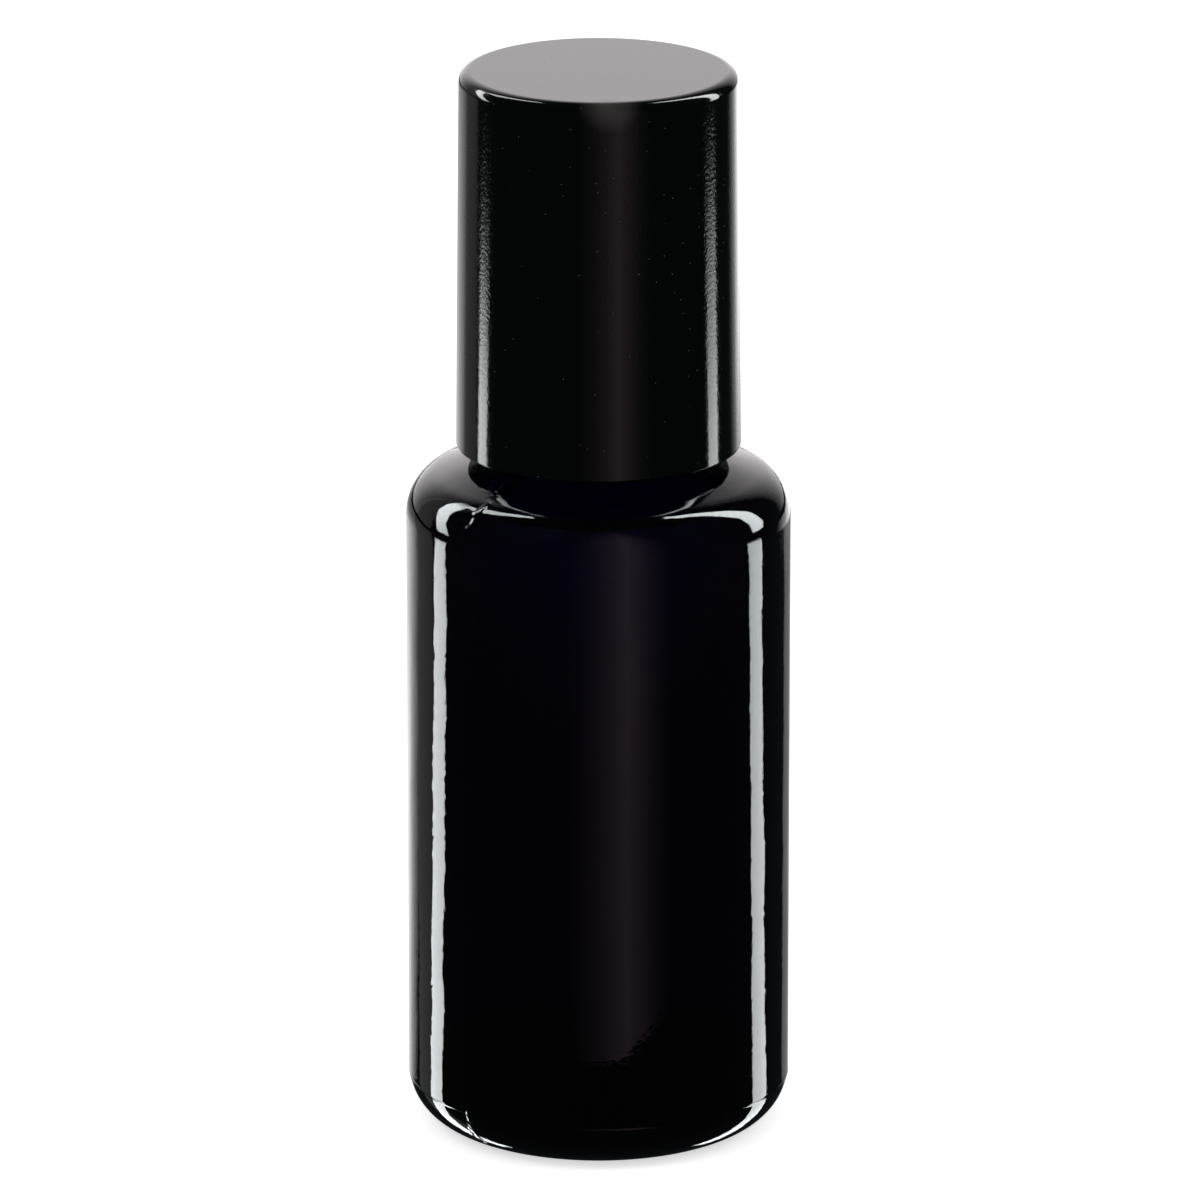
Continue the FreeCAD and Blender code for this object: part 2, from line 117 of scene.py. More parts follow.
class ProfilePen:
    """Draws a half outline in the XZ plane, edge by edge, and turns it about Z."""

    ARC_STEP = math.radians(4)
    LEAST_ARC_STEPS = 4
    EDGE_LOOP = 0.1 * MM
    SHORT_RUN = 4 * EDGE_LOOP
    ON_WALL = EDGE_LOOP / 10
    MERGE = 0.0001 * MM

    def __init__(self, radius: float, height: float) -> None:
        """Start the outline at a radius and height."""
        self.mesh = bmesh.new()
        self.tip = self.mesh.verts.new((radius, 0.0, height))

    def line_to(self, place: Vector, cuts: int = 0) -> None:
        """Draw a straight run, with a loop near each end that keeps its shading straight.

        Args:
            place: End of the run.
            cuts: Extra points along the run.
        """
        start = self.tip.co.copy()
        span = (place - start).length
        if span < self.MERGE:
            return
        shares = {step / (cuts + 1) for step in range(1, cuts + 2)}
        if span > self.SHORT_RUN:
            shares |= {self.EDGE_LOOP / span, 1 - self.EDGE_LOOP / span}
        for share in sorted(shares):
            self.tip = bmesh.ops.extrude_vert_indiv(self.mesh, verts=[self.tip])["verts"][0]
            self.tip.co = start.lerp(place, share)

    def arc(self, centre: Vector, sweep: float) -> None:
        """Draw an arc from the tip.

        Args:
            centre: Centre of the arc, in the XZ plane.
            sweep: Signed angle, positive from +Z towards +X.
        """
        steps = max(self.LEAST_ARC_STEPS, round(abs(sweep) / self.ARC_STEP))
        made = bmesh.ops.spin(
            self.mesh, geom=[self.tip], cent=centre, axis=(0, 1, 0), angle=sweep, steps=steps
        )
        self.tip = next(part for part in made["geom_last"] if isinstance(part, bmesh.types.BMVert))

    def follow(self, *corners: Corner) -> None:
        """Draw straight runs through the corners, rounding each one but the last.

        Args:
            *corners: The corners in order.
        """
        for corner, following in zip(corners, (*corners[1:], None)):
            if following is None or corner.rounding == 0:
                self.line_to(corner.place, corner.cuts)
                continue
            back = (self.tip.co - corner.place).normalized()
            ahead = (following.place - corner.place).normalized()
            half = back.angle(ahead) / 2
            self.line_to(corner.place + back * corner.rounding / math.tan(half), corner.cuts)
            centre = corner.place + (back + ahead).normalized() * corner.rounding / math.sin(half)
            self.arc(centre, math.copysign(math.pi - 2 * half, ahead.cross(back).y))

    def turned(self, steps: int) -> bmesh.types.BMesh:
        """Turn the outline once round the axis.

        Args:
            steps: Number of steps of the turn.

        Returns:
            The closed mesh, with its faces pointing outwards.
        """
        outline = self.mesh.verts[:] + self.mesh.edges[:]
        bmesh.ops.spin(
            self.mesh, geom=outline, cent=(0, 0, 0), axis=(0, 0, 1),
            angle=FULL_TURN, steps=steps, use_merge=True,
        )
        bmesh.ops.remove_doubles(self.mesh, verts=self.mesh.verts, dist=self.MERGE)
        bmesh.ops.recalc_face_normals(self.mesh, faces=self.mesh.faces)
        return self.mesh


@dataclass(frozen=True)
class ScrewThread:
    """A rounded right-handed screw thread, raised from the rows of a turned wall.

    Attributes:
        wall: Radius of the wall that carries it.
        depth: Height of its crest off the wall, negative towards the axis.
        width: Width of its foot along the axis.
        lead: Rise in one turn.
        foot: Height where the threads begin.
        turns: Length of each thread.
        starts: Number of threads side by side.
        run_out: Share of a turn over which the ends fade.
        fullness: Height of the flanks' curve before its crest is cut flat.
    """

    wall: float
    depth: float
    width: float
    lead: float
    foot: float
    turns: float
    starts: int = 2
    run_out: float = 0.12
    fullness: float = 1.35

    def rise(self, place: Vector) -> float:
        """Work out how far the thread lifts a point of the wall.

        Args:
            place: A point on the wall.

        Returns:
            The signed lift along the radius.
        """
        lift = 0.0
        for start in range(self.starts):
            share = (math.atan2(place.y, place.x) / FULL_TURN - start / self.starts) % 1.0
            for lap in range(math.ceil(self.turns) + 1):
                along = share + lap
                fade = min(along, self.turns - along) / self.run_out
                off = abs(place.z - self.foot - self.lead * along) / self.width * 2
                if fade <= 0 or off >= 1:
                    continue
                flank = min(1.0, self.fullness * math.cos(off * math.pi / 2) ** 2)
                lift = max(lift, flank * math.sin(min(fade, 1.0) * math.pi / 2))
        return self.depth * lift

    def raise_on(self, mesh: bmesh.types.BMesh) -> None:
        """Raise the thread on the rows of a turned mesh that lie on its wall.

        Args:
            mesh: The turned mesh.
        """
        for vert in mesh.verts:
            if abs(math.hypot(vert.co.x, vert.co.y) - self.wall) > ProfilePen.ON_WALL:
                continue
            factor = 1 + self.rise(vert.co) / self.wall
            vert.co.x *= factor
            vert.co.y *= factor


def add_piece(mesh: bmesh.types.BMesh, name: str, finish: bpy.types.Material) -> bpy.types.Object:
    """Turn a finished bmesh into a smooth shaded object with a material.

    Args:
        mesh: The bmesh, which is freed.
        name: Name of the piece.
        finish: Its material.

    Returns:
        The object, linked to the scene at the origin.
    """
    data = bpy.data.meshes.new(name)
    mesh.to_mesh(data)
    mesh.free()
    data.shade_smooth()
    data.set_sharp_from_angle(angle=SHARP_ANGLE)
    data.materials.append(finish)
    piece = bpy.data.objects.new(name, data)
    bpy.context.scene.collection.objects.link(piece)
    return piece


def spokes(count: int, low: Triple, high: Triple) -> bmesh.types.BMesh:
    """Stand equal boxes round the axis.

    Args:
        count: Number of boxes.
        low: Lowest corner of the box on the X axis.
        high: Its highest corner.

    Returns:
        The boxes in one mesh.
    """
    first, last = Vector(low), Vector(high)
    box = Matrix.Translation((first + last) / 2) @ Matrix.Diagonal((*(last - first), 1.0))
    mesh = bmesh.new()
    for spoke in range(count):
        turn = Matrix.Rotation(FULL_TURN * spoke / count, 4, "Z")
        bmesh.ops.create_cube(mesh, size=1.0, matrix=turn @ box)
    return mesh


def rework(piece: bpy.types.Object, tool: bmesh.types.BMesh, work: Work) -> None:
    """Add a tool's shape to a piece or cut it away.

    Args:
        piece: The piece, whose mesh is replaced.
        tool: The closed shape, which is freed.
        work: What to do with it.
    """
    whole = piece.data
    cutter = add_piece(tool, f"{piece.name}_tool", whole.materials[0])
    step = piece.modifiers.new("rework", "BOOLEAN")
    step.operation, step.solver, step.object = work.value, "EXACT", cutter
    ready = piece.evaluated_get(bpy.context.evaluated_depsgraph_get())
    piece.data = bpy.data.meshes.new_from_object(ready)
    piece.modifiers.clear()
    for spent in (cutter.data, whole):
        bpy.data.meshes.remove(spent)
    piece.data.name = piece.name
    piece.data.set_sharp_from_angle(angle=SHARP_ANGLE)


def settle(piece: bpy.types.Object, body: Body, node: str) -> None:
    """Put a piece in a node's place, on a body of the frame.

    Args:
        piece: The finished piece.
        body: The body it rides on.
        node: The node it stands for.
    """
    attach(piece, body.value)
    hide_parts(node)
    LOG.info("%s rides on %s with %d faces", piece.name, body.value, len(piece.data.polygons))


# Node sheets and effects that several finishes share


class NodeSheet:
    """Places and wires the nodes of one material, group or world."""

    def __init__(self, tree: bpy.types.NodeTree) -> None:
        """Work on a node tree."""
        self.tree = tree

    def add(
        self, kind: str, inputs: Mapping[str | int, object] | None = None, **settings: object
    ) -> bpy.types.Node:
        """Place a node.

        Args:
            kind: Blender's name of the node type.
            inputs: Values or sockets for the node's inputs, by name or index.
            **settings: The node's own settings.

        Returns:
            The node.
        """
        node = self.tree.nodes.new(kind)
        for name, value in settings.items():
            setattr(node, name, value)
        for name, value in (inputs or {}).items():
            if isinstance(value, bpy.types.NodeSocket):
                self.tree.links.new(value, node.inputs[name])
            else:
                node.inputs[name].default_value = value
        return node

    def place(self) -> bpy.types.NodeSocket:
        """The piece's own Object coordinates."""
        return self.add("ShaderNodeTexCoord").outputs["Object"]

    def math(self, operation: str, first: object, second: object = 0.0) -> bpy.types.NodeSocket:
        """Join two values with an arithmetic node.

        Args:
            operation: The Math node's operation.
            first: A value or socket.
            second: A value or socket.

        Returns:
            The result's socket.
        """
        return self.add("ShaderNodeMath", {0: first, 1: second}, operation=operation).outputs[0]

    def remap(
        self, value: bpy.types.NodeSocket, source: Span, target: Span, easing: str = "SMOOTHSTEP"
    ) -> bpy.types.NodeSocket:
        """Carry a value from one range to another.

        Args:
            value: The value's socket.
            source: Low and high end of its range.
            target: What those ends become.
            easing: The Map Range node's interpolation.

        Returns:
            The new value's socket.
        """
        ends = {"From Min": source[0], "From Max": source[1], "To Min": target[0], "To Max": target[1]}
        node = self.add("ShaderNodeMapRange", {"Value": value, **ends}, interpolation_type=easing)
        return node.outputs["Result"]

    def blend(self, mask: object, first: object, second: object) -> bpy.types.NodeSocket:
        """Blend two colours by a mask.

        Args:
            mask: Zero for the first colour, one for the second.
            first: A colour or socket.
            second: A colour or socket.

        Returns:
            The blended colour's socket.
        """
        inputs = {0: mask}
        for socket, side in ((6, first), (7, second)):
            inputs[socket] = side if isinstance(side, bpy.types.NodeSocket) else (*side, 1.0)
        return self.add("ShaderNodeMix", inputs, data_type="RGBA").outputs[2]

    def bump(self, height: bpy.types.NodeSocket) -> bpy.types.NodeSocket:
        """Turn a height in metres into a normal."""
        inputs = {"Height": height, "Strength": 1.0, "Distance": 1.0}
        return self.add("ShaderNodeBump", inputs).outputs["Normal"]

    def height(self) -> bpy.types.NodeSocket:
        """The height above the foot."""
        return self.add("ShaderNodeSeparateXYZ", {"Vector": self.place()}).outputs["Z"]

    def measure(self, operation: str, other: Triple) -> bpy.types.NodeSocket:
        """Measure the piece's own coordinates against a fixed vector.

        Args:
            operation: The Vector Math node's operation.
            other: The fixed vector.

        Returns:
            The measure's socket.
        """
        inputs = {0: self.place(), 1: other}
        return self.add("ShaderNodeVectorMath", inputs, operation=operation).outputs["Value"]

    def link(self, value: bpy.types.NodeSocket, node: bpy.types.Node, socket: str) -> None:
        """Wire a value to an input of a node."""
        self.tree.links.new(value, node.inputs[socket])


class EffectShelf:
    """Node groups that more than one finish uses, each built once."""

    RIPPLE_DETAIL = 1.5
    HAZE_DETAIL = 5.0
    HAZE_DISTORTION = 0.6
    HAZE_MIDDLE = 0.5

    def __init__(self) -> None:
        """Build every group."""
        self.ripple = self._ripple()
        self.dust = self._dust()
        self.haze = self._haze()

    @staticmethod
    def _group(
        name: str, inputs: Mapping[str, float], output: str
    ) -> tuple[NodeSheet, bpy.types.Node, bpy.types.Node]:
        """Start a group.

        Args:
            name: Name of the group.
            inputs: Its inputs and their usual values.
            output: Name of its output.

        Returns:
            The group's sheet, its input node and its output node.
        """
        tree = bpy.data.node_groups.new(name, "ShaderNodeTree")
        for label, usual in inputs.items():
            socket = tree.interface.new_socket(label, in_out="INPUT", socket_type="NodeSocketFloat")
            socket.default_value = usual
        tree.interface.new_socket(output, in_out="OUTPUT", socket_type="NodeSocketFloat")
        sheet = NodeSheet(tree)
        return sheet, sheet.add("NodeGroupInput"), sheet.add("NodeGroupOutput")

    def _ripple(self) -> bpy.types.NodeTree:
        """Waves of a moulded skin, as a height in metres.

        Returns:
            A group with inputs Scale and Depth and the output Height.
        """
        sheet, given, result = self._group("moulded_ripple", {"Scale": 100.0, "Depth": 0.01 * MM}, "Height")
        inputs = {"Vector": sheet.place(), "Scale": given.outputs["Scale"], "Detail": self.RIPPLE_DETAIL}
        noise = sheet.add("ShaderNodeTexNoise", inputs)
        height = sheet.math("MULTIPLY", noise.outputs["Fac"], given.outputs["Depth"])
        sheet.link(height, result, "Height")
        return sheet.tree

    def _dust(self) -> bpy.types.NodeTree:
        """Specks of dust, thinly strewn.

        Returns:
            A group with inputs Scale, Size and Rarity and the output Mask.
        """
        usual = {"Scale": 900.0, "Size": 0.12, "Rarity": 0.9}
        sheet, given, result = self._group("settled_dust", usual, "Mask")
        cells = sheet.add("ShaderNodeTexVoronoi", {"Vector": sheet.place(), "Scale": given.outputs["Scale"]})
        lot = sheet.add("ShaderNodeSeparateColor", {"Color": cells.outputs["Color"]})
        near = sheet.math("LESS_THAN", cells.outputs["Distance"], given.outputs["Size"])
        chosen = sheet.math("GREATER_THAN", lot.outputs["Red"], given.outputs["Rarity"])
        sheet.link(sheet.math("MULTIPLY", near, chosen), result, "Mask")
        return sheet.tree

    def _haze(self) -> bpy.types.NodeTree:
        """Broad smears left by handling.

        Returns:
            A group with inputs Scale and Contrast and the output Mask.
        """
        sheet, given, result = self._group("handling_haze", {"Scale": 60.0, "Contrast": 2.0}, "Mask")
        inputs = {"Vector": sheet.place(), "Scale": given.outputs["Scale"], "Detail": self.HAZE_DETAIL}
        noise = sheet.add("ShaderNodeTexNoise", {**inputs, "Distortion": self.HAZE_DISTORTION})
        offset = sheet.math("SUBTRACT", noise.outputs["Fac"], self.HAZE_MIDDLE)
        swing = sheet.math("MULTIPLY_ADD", offset, given.outputs["Contrast"])
        swing.node.inputs[2].default_value = self.HAZE_MIDDLE
        swing.node.use_clamp = True
        sheet.link(swing, result, "Mask")
        return sheet.tree

    def use(self, sheet: NodeSheet, group: bpy.types.NodeTree, **values: float) -> bpy.types.NodeSocket:
        """Place a group in a material.

        Args:
            sheet: The material's sheet.
            group: One of this shelf's groups.
            **values: The group's inputs.

        Returns:
            The group's output.
        """
        return sheet.add("ShaderNodeGroup", values, node_tree=group).outputs[0]


def new_finish(name: str) -> tuple[bpy.types.Material, NodeSheet, bpy.types.Node]:
    """Start a material.

    Args:
        name: Its name.

    Returns:
        The material, its node sheet and its Principled shader.
    """
    material = bpy.data.materials.new(name)
    material.use_nodes = True
    return material, NodeSheet(material.node_tree), material.node_tree.nodes["Principled BSDF"]


# Finishes


@dataclass(frozen=True)
class VioletGlass:
    """Blown glass, violet through and through and almost opaque, with the mould's parting line and painted
    shade that darkens its lower body.
    """

    absorption_colour: Triple = (0.14, 0.0, 0.36)
    absorption_density: float = 1700.0
    refraction: float = 1.52
    haze_scale: float = 45.0
    haze_contrast: float = 1.6
    roughness: Span = (0.008, 0.03)
    wave_scale: float = 150.0
    wave_depth: float = 0.08 * MM
    ripple_scale: float = 1900.0
    ripple_depth: float = 0.007 * MM
    parting_normal: Triple = (0.766, -0.643, 0.0)
    parting_width: float = 0.55 * MM
    parting_proud: float = 0.05 * MM
    parting_heel: Span = (3.5 * MM, 6.5 * MM)
    parting_shoulder: Span = (54.5 * MM, 57.5 * MM)
    parting_trace: float = 0.15
    wander_scale: float = 1100.0
    wander_depth: float = 1.3 * MM
    clear_tint: Triple = (0.88, 0.86, 0.9)
    painted_shade_tint: Triple = (0.42, 0.41, 0.43)
    painted_shade_rise: Span = (30.0 * MM, 62.0 * MM)

    def parting(self, sheet: NodeSheet, shelf: EffectShelf) -> bpy.types.NodeSocket:
        """Raise the line where the halves of the mould met, at the heel and the shoulder.

        Args:
            sheet: The material's sheet.
            shelf: The shared effects.

        Returns:
            The line's height in metres.
        """
        across = sheet.measure("DOT_PRODUCT", self.parting_normal)
        wander = shelf.use(sheet, shelf.ripple, Scale=self.wander_scale, Depth=self.wander_depth)
        off = sheet.math("ABSOLUTE", sheet.math("ADD", across, wander))
        ridge = sheet.remap(off, (0.0, self.parting_width), (self.parting_proud, 0.0))
        heel = sheet.remap(sheet.height(), self.parting_heel, (1.0, self.parting_trace))
        shoulder = sheet.remap(sheet.height(), self.parting_shoulder, (self.parting_trace, 1.0))
        return sheet.math("MULTIPLY", ridge, sheet.math("MAXIMUM", heel, shoulder))

    def build(self, shelf: EffectShelf) -> bpy.types.Material:
        """Make the material.

        Args:
            shelf: The shared effects.

        Returns:
            The material.
        """
        material, sheet, shader = new_finish("violet_glass")
        shader.inputs["Transmission Weight"].default_value = 1.0
        shader.inputs["IOR"].default_value = self.refraction
        haze = shelf.use(sheet, shelf.haze, Scale=self.haze_scale, Contrast=self.haze_contrast)
        sheet.link(sheet.remap(haze, UNIT, self.roughness), shader, "Roughness")
        # Painted shade: the base colour darkens from the shoulder down the body, which dims the light seen
        # through its lower part.
        upper = sheet.remap(sheet.height(), self.painted_shade_rise, UNIT)
        sheet.link(sheet.blend(upper, self.painted_shade_tint, self.clear_tint), shader, "Base Color")
        waves = shelf.use(sheet, shelf.ripple, Scale=self.wave_scale, Depth=self.wave_depth)
        ripples = shelf.use(sheet, shelf.ripple, Scale=self.ripple_scale, Depth=self.ripple_depth)
        skin = sheet.math("ADD", sheet.math("ADD", waves, ripples), self.parting(sheet, shelf))
        sheet.link(sheet.bump(skin), shader, "Normal")
        inner = {"Color": (*self.absorption_colour, 1.0), "Density": self.absorption_density}
        body = sheet.add("ShaderNodeVolumeAbsorption", inner)
        sheet.link(body.outputs["Volume"], material.node_tree.nodes["Material Output"], "Volume")
        return material


@dataclass(frozen=True)
class GlossCap:
    """Gloss black moulded plastic with an orange peel, a little dust and a painted reflection, a lighter and
    rougher patch, on the front of its crown's edge.
    """

    colour: Triple = (0.0007, 0.0013, 0.0011)
    worn_gain: float = 1.35
    refraction: float = 1.5
    reflection_tint: Triple = (1.0, 0.96, 0.89)
    haze_scale: float = 80.0
    haze_contrast: float = 1.8
    roughness: Span = (0.045, 0.07)
    grain_scale: float = 5000.0
    grain_band: Span = (0.42, 0.62)
    grain_roughness: float = 0.06
    dust_scale: float = 1400.0
    dust_size: float = 0.065
    dust_rarity: float = 0.6
    dust_roughness: float = 0.8
    dust_colour: Triple = (0.07, 0.068, 0.062)
    painted_reflection_place: Triple = (0.0009, -0.0108, 0.0936)
    painted_reflection_reach: float = 3.0 * MM
    painted_reflection_strength: float = 0.7
    painted_reflection_colour: Triple = (0.16, 0.155, 0.15)
    peel_scale: float = 3400.0
    peel_depth: float = 0.011 * MM
    peel_rise: Span = (62.0 * MM, 84.0 * MM)
    peel_at_mouth: float = 0.4
    peel_end: Span = (91.0 * MM, 93.2 * MM)
    peel_at_crown: float = 0.12
    wave_scale: float = 190.0
    wave_depth: float = 0.004 * MM

    def skin(self, sheet: NodeSheet, shelf: EffectShelf) -> bpy.types.NodeSocket:
        """Raise the waves and the orange peel, which is strongest below the crown.

        Args:
            sheet: The material's sheet.
            shelf: The shared effects.

        Returns:
            The skin's height in metres.
        """
        peel = shelf.use(sheet, shelf.ripple, Scale=self.peel_scale, Depth=self.peel_depth)
        waves = shelf.use(sheet, shelf.ripple, Scale=self.wave_scale, Depth=self.wave_depth)
        upper = sheet.remap(sheet.height(), self.peel_rise, (self.peel_at_mouth, 1.0))
        wall = sheet.remap(sheet.height(), self.peel_end, (1.0, self.peel_at_crown))
        coarse = sheet.math("MULTIPLY", peel, sheet.math("MULTIPLY", upper, wall))
        return sheet.math("ADD", coarse, waves)

    def build(self, shelf: EffectShelf) -> bpy.types.Material:
        """Make the material.

        Args:
            shelf: The shared effects.

        Returns:
            The material.
        """
        material, sheet, shader = new_finish("gloss_black_cap")
        shader.inputs["IOR"].default_value = self.refraction
        shader.inputs["Specular Tint"].default_value = (*self.reflection_tint, 1.0)
        haze = shelf.use(sheet, shelf.haze, Scale=self.haze_scale, Contrast=self.haze_contrast)
        specks = {"Scale": self.dust_scale, "Size": self.dust_size, "Rarity": self.dust_rarity}
        dust = shelf.use(sheet, shelf.dust, **specks)
        # Painted reflection: a lighter patch of base colour, also rougher, round a point on the front of the
        # crown's edge.
        reach = sheet.measure("DISTANCE", self.painted_reflection_place)
        spread = sheet.remap(reach, (0.0, self.painted_reflection_reach), (self.painted_reflection_strength, 0.0))
        painted_reflection = sheet.math("MULTIPLY", haze, spread)
        worn = sheet.blend(haze, self.colour, tuple(self.worn_gain * part for part in self.colour))
        dusty = sheet.blend(dust, worn, self.dust_colour)
        sheet.link(sheet.blend(painted_reflection, dusty, self.painted_reflection_colour), shader, "Base Color")
        grain = shelf.use(sheet, shelf.ripple, Scale=self.grain_scale, Depth=1.0)
        grainy = sheet.remap(grain, self.grain_band, (0.0, self.grain_roughness))
        clean = sheet.math("ADD", sheet.remap(haze, UNIT, self.roughness), grainy)
        marks = sheet.math("MAXIMUM", sheet.math("MULTIPLY", dust, self.dust_roughness), painted_reflection)
        sheet.link(sheet.math("MAXIMUM", clean, marks), shader, "Roughness")
        sheet.link(sheet.bump(self.skin(sheet, shelf)), shader, "Normal")
        return material


@dataclass(frozen=True)
class HandledSkin:
    """A finely rippled skin whose colour and gloss drift where it was handled.

    Attributes:
        colour: Its colour where it was left alone.
        rubbed_colour: Its colour where it was handled.
        haze_scale: Scale of the handled places.
        haze_contrast: How far they stand out.
        roughness: Roughness of clean and of handled places.
        ripple_scale: Scale of the ripples.
        ripple_depth: Depth of the ripples.
    """

    colour: Triple
    rubbed_colour: Triple
    haze_scale: float
    haze_contrast: float
    roughness: Span
    ripple_scale: float
    ripple_depth: float

    def dress(self, name: str, shelf: EffectShelf) -> tuple[bpy.types.Material, bpy.types.Node]:
        """Make a material with this skin.

        Args:
            name: Its name.
            shelf: The shared effects.

        Returns:
            The material and its Principled shader.
        """
        material, sheet, shader = new_finish(name)
        haze = shelf.use(sheet, shelf.haze, Scale=self.haze_scale, Contrast=self.haze_contrast)
        sheet.link(sheet.blend(haze, self.colour, self.rubbed_colour), shader, "Base Color")
        sheet.link(sheet.remap(haze, UNIT, self.roughness), shader, "Roughness")
        ripples = shelf.use(sheet, shelf.ripple, Scale=self.ripple_scale, Depth=self.ripple_depth)
        sheet.link(sheet.bump(ripples), shader, "Normal")
        return material, shader


@dataclass(frozen=True)
class SatinSleeve(HandledSkin):
    """Satin black moulded plastic, as inside the cap."""

    colour: Triple = (0.014, 0.0138, 0.0142)
    rubbed_colour: Triple = (0.026, 0.0255, 0.026)
    haze_scale: float = 160.0
    haze_contrast: float = 2.2
    roughness: Span = (0.34, 0.5)
    ripple_scale: float = 3200.0
    ripple_depth: float = 0.004 * MM

    def build(self, shelf: EffectShelf) -> bpy.types.Material:
        """Make the material from the shared effects."""
        return self.dress("satin_black_sleeve", shelf)[0]


@dataclass(frozen=True)
class MilkyHousing(HandledSkin):
    """Natural polyethylene: milky, waxy and faintly see-through at its edges."""

    colour: Triple = (0.76, 0.775, 0.77)
    rubbed_colour: Triple = (0.83, 0.835, 0.825)
    haze_scale: float = 210.0
    haze_contrast: float = 1.4
    roughness: Span = (0.3, 0.44)
    ripple_scale: float = 1500.0
    ripple_depth: float = 0.003 * MM
    bleed: float = 0.35
    bleed_tint: Triple = (1.0, 0.95, 0.9)
    bleed_depth: float = 0.8 * MM

    def build(self, shelf: EffectShelf) -> bpy.types.Material:
        """Make the material.

        Args:
            shelf: The shared effects.

        Returns:
            The material.
        """
        material, shader = self.dress("milky_housing", shelf)
        shader.inputs["Subsurface Weight"].default_value = self.bleed
        shader.inputs["Subsurface Radius"].default_value = self.bleed_tint
        shader.inputs["Subsurface Scale"].default_value = self.bleed_depth
        return material


@dataclass(frozen=True)
class PolishedSteel(HandledSkin):
    """Stainless steel, lapped to a soft mirror and dulled a little where it was rubbed."""

    colour: Triple = (0.66, 0.665, 0.675)
    rubbed_colour: Triple = (0.74, 0.74, 0.745)
    haze_scale: float = 240.0
    haze_contrast: float = 2.0
    roughness: Span = (0.13, 0.2)
    ripple_scale: float = 2600.0
    ripple_depth: float = 0.0004 * MM

    def build(self, shelf: EffectShelf) -> bpy.types.Material:
        """Make the material.

        Args:
            shelf: The shared effects.

        Returns:
            The material.
        """
        material, shader = self.dress("polished_steel", shelf)
        shader.inputs["Metallic"].default_value = 1.0
        return material


@dataclass(frozen=True)
class SoftPad:
    """Closed-cell white foam, with painted shade in the hollows of its cells."""

    colour: Triple = (0.83, 0.83, 0.81)
    cell_hollow_shade_colour: Triple = (0.74, 0.74, 0.72)
    cell_scale: float = 3600.0
    cell_walls: Span = (0.1, 0.7)
    cell_depth: float = 0.03 * MM
    haze_scale: float = 300.0
    haze_contrast: float = 1.5
    roughness: Span = (0.72, 0.88)

    def build(self, shelf: EffectShelf) -> bpy.types.Material:
        """Make the material.

        Args:
            shelf: The shared effects.

        Returns:
            The material.
        """
        material, sheet, shader = new_finish("soft_pad")
        cells = sheet.add("ShaderNodeTexVoronoi", {"Vector": sheet.place(), "Scale": self.cell_scale})
        # Painted shade: the cell hollows, which the bump sets lower, take the darker colour.
        walls = sheet.remap(cells.outputs["Distance"], self.cell_walls, UNIT)
        sheet.link(sheet.blend(walls, self.cell_hollow_shade_colour, self.colour), shader, "Base Color")
        haze = shelf.use(sheet, shelf.haze, Scale=self.haze_scale, Contrast=self.haze_contrast)
        sheet.link(sheet.remap(haze, UNIT, self.roughness), shader, "Roughness")
        sheet.link(sheet.bump(sheet.math("MULTIPLY", walls, self.cell_depth)), shader, "Normal")
        return material


@dataclass(frozen=True)
class PaleFloor:
    """Matt white studio paper."""

    colour: Triple = (0.93, 0.93, 0.93)
    mottled_colour: Triple = (0.91, 0.91, 0.915)
    glow: float = 0.62
    haze_scale: float = 9.0
    haze_contrast: float = 1.0

    def build(self, shelf: EffectShelf) -> bpy.types.Material:
        """Make the material.

        Args:
            shelf: The shared effects.

        Returns:
            The material.
        """
        material, sheet, shader = new_finish("pale_floor")
        haze = shelf.use(sheet, shelf.haze, Scale=self.haze_scale, Contrast=self.haze_contrast)
        sheet.link(sheet.blend(haze, self.colour, self.mottled_colour), shader, "Base Color")
        shader.inputs["Roughness"].default_value = 1.0
        shader.inputs["Specular IOR Level"].default_value = 0.0
        shader.inputs["Emission Color"].default_value = (*WHITE, 1.0)
        shader.inputs["Emission Strength"].default_value = self.glow
        return material


# Sub-assemblies


